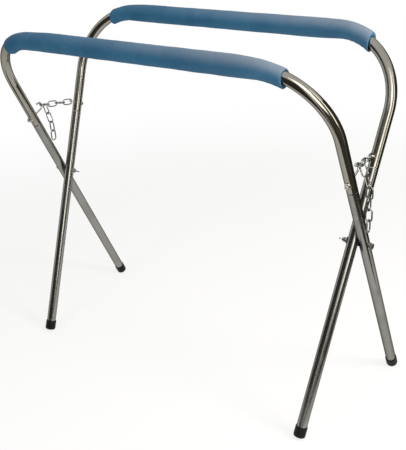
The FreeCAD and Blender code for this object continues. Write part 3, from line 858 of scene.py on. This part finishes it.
@dataclass
class FlangeNut:
    """Hexagon nut with a wide flange curved to sit round the tube."""

    node: str
    tube: str
    body: str
    tube_radius: float = 0.0127
    bore: float = 0.0027
    flange: float = 0.0078
    flange_depth: float = 0.0014
    flats: float = 0.0096
    height: float = 0.0062
    chamfer: float = 0.0007
    cad_height: float = 0.0045
    seat_gap: float = 0.0001
    collar: float = 0.60
    collar_rise: float = 0.0004
    hexagon_foot: float = 0.0005
    rim_round: float = 0.0004
    bore_round: float = 0.0005
    corner_share: float = 0.9
    sharp_angle: float = 28.0
    around: int = 72

    def saddle(self, across: float) -> float:
        """How far the tube's surface falls away across its width.

        Args:
            across: Distance across the tube from its top line.

        Returns:
            The fall.
        """
        return self.tube_radius - math.sqrt(self.tube_radius ** 2 - across ** 2)

    def hexagon(self, turn: float, share: float) -> float:
        """Distance from the nut's middle to its side.

        Args:
            turn: Angle round the nut.
            share: 1 for the full hexagon, less where a chamfer cuts its corners.

        Returns:
            The distance.
        """
        sixth = math.pi / 3
        full = self.flats / 2 / math.cos((turn + sixth / 2) % sixth - sixth / 2)
        return min(full, self.flats / 2 / math.cos(sixth / 2) * share)

    def profile(self) -> list[tuple[float, float, float]]:
        """Section of the nut from its underside round to its bore.

        Returns:
            Radius, height and share of the hexagon of each ring; where the share is 0 the ring is
            round and has that radius.
        """
        deck, top = self.flange_depth, self.height
        return [(self.bore, 0.0, 0.0), (self.flange, 0.0, 0.0), (self.flange + self.rim_round, deck / 2, 0.0),
                (self.flange, deck, 0.0), (self.flats * self.collar, deck + self.collar_rise, 0.0),
                (0.0, deck + self.hexagon_foot, 1.0), (0.0, top - self.chamfer, 1.0),
                (0.0, top, self.corner_share), (self.bore + self.bore_round, top, 0.0),
                (self.bore, top - self.bore_round, 0.0)]

    def build(self) -> bpy.types.Object:
        """Build, dress and place the nut.

        Returns:
            The nut.
        """
        low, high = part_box(self.node)
        middle = (low + high) / 2
        _, up = bar_of(self.tube, self.tube_radius)
        out = ACROSS.cross(up)
        out = out if out.y * middle.y > 0 else -out
        seat = middle - out * (self.cad_height / 2 - self.seat_gap)
        deck = self.flange_depth
        profile = self.profile()
        points = []
        for reach, rise, share in profile:
            follow = 1.0 if rise <= deck else max(0.0, 1 - rise / (deck + self.collar_rise))
            for step in range(self.around):
                turn = 2 * math.pi * step / self.around
                radius = self.hexagon(turn, share) if share else reach
                x, y = radius * math.cos(turn), radius * math.sin(turn)
                points.append(seat + ACROSS * x + up * y + out * (rise - self.saddle(x) * follow))
        piece = new_piece(f"{self.node}_flanged", points, ring_faces(len(profile), self.around))
        piece.data.set_sharp_from_angle(angle=math.radians(self.sharp_angle))
        HARDWARE.dress(piece)
        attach(piece, self.body)
        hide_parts(self.node)
        return piece


@dataclass(frozen=True)
class FrameWork:
    """Tubes, legs, feet and hardware carried over from the frame, each in its own finish.

    The first word that is in a node's name picks its finish; the foam is built anew elsewhere.
    """

    finishes: tuple[tuple[str, Finish], ...] = (
        ("frame_tube", PLATED), ("_leg_", LOWER), ("_foot_", RUBBER), ("link", CHAIN),
        ("spacer", SPACER), ("pivot", PIVOT), ("wing", PIVOT))
    others: Finish = HARDWARE
    rebuilt: str = "foam"

    def dress(self) -> None:
        """Dress every carried-over node by what it is made of."""
        for name, node in frame["nodes"].items():
            if self.rebuilt not in name:
                fitting = (finish for word, finish in self.finishes if word in name)
                next(fitting, self.others).dress(node)


# ------------------------------------------------------------------ studio


@dataclass(frozen=True)
class Card:
    """Dark card that rises outwards round the stand, with angles in degrees from +X towards +Y."""

    name: str
    start: float
    end: float
    near: float
    far: float
    height: float


@dataclass(frozen=True)
class Lamp:
    """Rectangular soft lamp: metres and watts, and whether it shows in reflections."""

    name: str
    place: tuple[float, float, float]
    target: tuple[float, float, float]
    size: tuple[float, float]
    power: float
    colour: Colour = (1.0, 1.0, 1.0)
    in_metal: bool = False


WARM = (1.0, 0.97, 0.86)
HIGH, LOW = (0.3, 0.0, 0.8), (0.0, 0.0, 0.45)


@dataclass
class Studio:
    """Pale floor, white world, soft lamps, dark cards for the metal, and the camera."""

    azimuth: float = 38.8
    elevation: float = 25.76
    roll: float = -3.89
    distance: float = 1.98567
    target: Vector = field(default_factory=lambda: Vector((0.02921, 0.0, 0.38027)))
    lens: float = 60.84
    sensor: float = 36.0
    sight: float = 50.0
    fill: Colour = (0.26, 0.255, 0.245)
    floor_half: float = 25.0
    card_step: float = 6.0
    card_clear: float = 0.004
    cards: tuple[Card, ...] = (
        Card("card_side", 10.0, 75.0, 1.1, 3.2, 2.4),
        Card("card_front", 215.0, 306.0, 0.75, 3.2, 2.4),
        Card("card_right", 306.0, 370.0, 0.75, 3.2, 0.45),
        Card("card_between", 343.0, 356.0, 1.9, 2.0, 2.4))
    lamps: tuple[Lamp, ...] = (
        Lamp("soft_front", (2.05, -1.45, 1.35), HIGH, (0.9, 2.0), 16.0, WARM, True),
        Lamp("soft_high", (1.33, -0.95, 1.94), (0.45, -0.17, 0.86), (0.8, 0.8), 5.6, WARM, True),
        Lamp("soft_right", (1.92, 0.02, 1.28), HIGH, (0.30, 1.85), 5.0, WARM, True),
        Lamp("key", (2.0, 0.2, 1.7), LOW, (0.5, 1.6), 40.0, (1.0, 0.95, 0.87)),
        Lamp("front", (-0.2, -2.6, 1.6), LOW, (0.5, 1.4), 18.0),
        Lamp("top", (0.8, 0.2, 2.6), LOW, (1.6, 0.8), 18.0, (1.0, 0.96, 0.90)))

    def aim(self, thing: bpy.types.Object, place: Vector, at: Vector) -> None:
        """Point a lamp or the camera.

        Args:
            thing: The object to point.
            place: Where it stands.
            at: What it looks at.
        """
        thing.location = place
        thing.rotation_mode = "QUATERNION"
        thing.rotation_quaternion = (at - place).to_track_quat("-Z", "Y")

    def make_camera(self) -> None:
        """Camera with the eye point, tilt and lens of a hand-held product view."""
        data = bpy.data.cameras.new("camera")
        data.lens = self.lens
        data.sensor_width = self.sensor
        data.clip_end = self.sight
        camera = bpy.data.objects.new("camera", data)
        bpy.context.scene.collection.objects.link(camera)
        turn, rise = math.radians(self.azimuth), math.radians(self.elevation)
        back = Vector((math.sin(turn) * math.cos(rise), -math.cos(turn) * math.cos(rise), math.sin(rise)))
        self.aim(camera, self.target + back * self.distance, self.target)
        tip = Matrix.Rotation(math.radians(self.roll), 3, "Z").to_quaternion()
        camera.rotation_quaternion = camera.rotation_quaternion @ tip
        bpy.context.scene.camera = camera

    def make_floor(self) -> None:
        """Large flat floor."""
        half = self.floor_half
        points = [Vector((x, y, 0.0)) for y in (-half, half) for x in (-half, half)]
        floor = new_piece("floor", points, [(0, 1, 3, 2)])
        Backdrop().dress(floor)

    def make_card(self, card: Card) -> None:
        """Dark card on the floor round the stand, hidden from the camera and from diffuse light.

        Args:
            card: What and where it is.
        """
        steps = max(2, round((card.end - card.start) / self.card_step))
        points = []
        for step in range(steps + 1):
            turn = math.radians(card.start + (card.end - card.start) * step / steps)
            out = Vector((math.cos(turn), math.sin(turn), 0.0))
            points.append(out * card.near + Vector((0.0, 0.0, self.card_clear)))
            points.append(out * card.far + Vector((0.0, 0.0, card.height + self.card_clear)))
        faces = [(2 * step, 2 * step + 1, 2 * step + 3, 2 * step + 2) for step in range(steps)]
        panel = new_piece(card.name, points, faces)
        DarkCard().dress(panel)
        panel.visible_camera = False
        panel.visible_diffuse = False
        panel.visible_shadow = False

    def make_lamp(self, lamp: Lamp) -> None:
        """Rectangular soft lamp.

        Args:
            lamp: What and where it is.
        """
        data = bpy.data.lights.new(lamp.name, "AREA")
        data.shape = "RECTANGLE"
        data.size, data.size_y = lamp.size
        data.energy = lamp.power
        data.color = lamp.colour
        light = bpy.data.objects.new(lamp.name, data)
        bpy.context.scene.collection.objects.link(light)
        light.visible_glossy = lamp.in_metal
        light.visible_camera = False
        self.aim(light, Vector(lamp.place), Vector(lamp.target))

    def make_world(self) -> None:
        """World that shows white to the camera and the metal, and lights with an even grey."""
        world = bpy.data.worlds.new("world")
        graph = NodeGraph(world, "ShaderNodeOutputWorld")
        fill = graph.add("ShaderNodeBackground", None, {"Color": (*self.fill, 1.0)})
        white = graph.add("ShaderNodeBackground", None, {"Color": WHITE})
        graph.end(graph.add("ShaderNodeMixShader", None, {0: graph.seen(), 1: fill, 2: white}))
        bpy.context.scene.world = world

    def build(self) -> None:
        """Set up the whole studio."""
        self.make_camera()
        self.make_floor()
        self.make_world()
        for card in self.cards:
            self.make_card(card)
        for lamp in self.lamps:
            self.make_lamp(lamp)
        bpy.context.scene.view_settings.view_transform = "Standard"


def main() -> None:
    """Build the looks of the stand in order, and report each piece that is made anew."""
    logging.basicConfig(level=logging.INFO, format="%(name)s: %(message)s")
    Studio().build()
    FrameWork().dress()
    pieces = [
        FoamSleeve("outer_foam_sleeve", "outer_frame_tube", "outer_frame",
                   BendFit(29.5, drop=0.0058, thin=0.0026, lead=0.11, slip=0.15), BendFit(25.0)).build(),
        FoamSleeve("inner_foam_sleeve", "inner_frame_tube", "inner_frame",
                   BendFit(24.0), BendFit(32.0, drop=-0.0010, thin=0.0026), corner_turn=93.61).build()]
    for side in Side:
        pieces.append(FlangeNut(f"hook_nut_{side.value}", "outer_frame_tube", "outer_frame").build())
        pieces.append(FlangeNut(f"eye_nut_{side.value}", "inner_frame_tube", "inner_frame").build())
    for piece in pieces:
        log.info("%s built with %d faces", piece.name, len(piece.data.polygons))


if __name__ == "__main__":
    main()
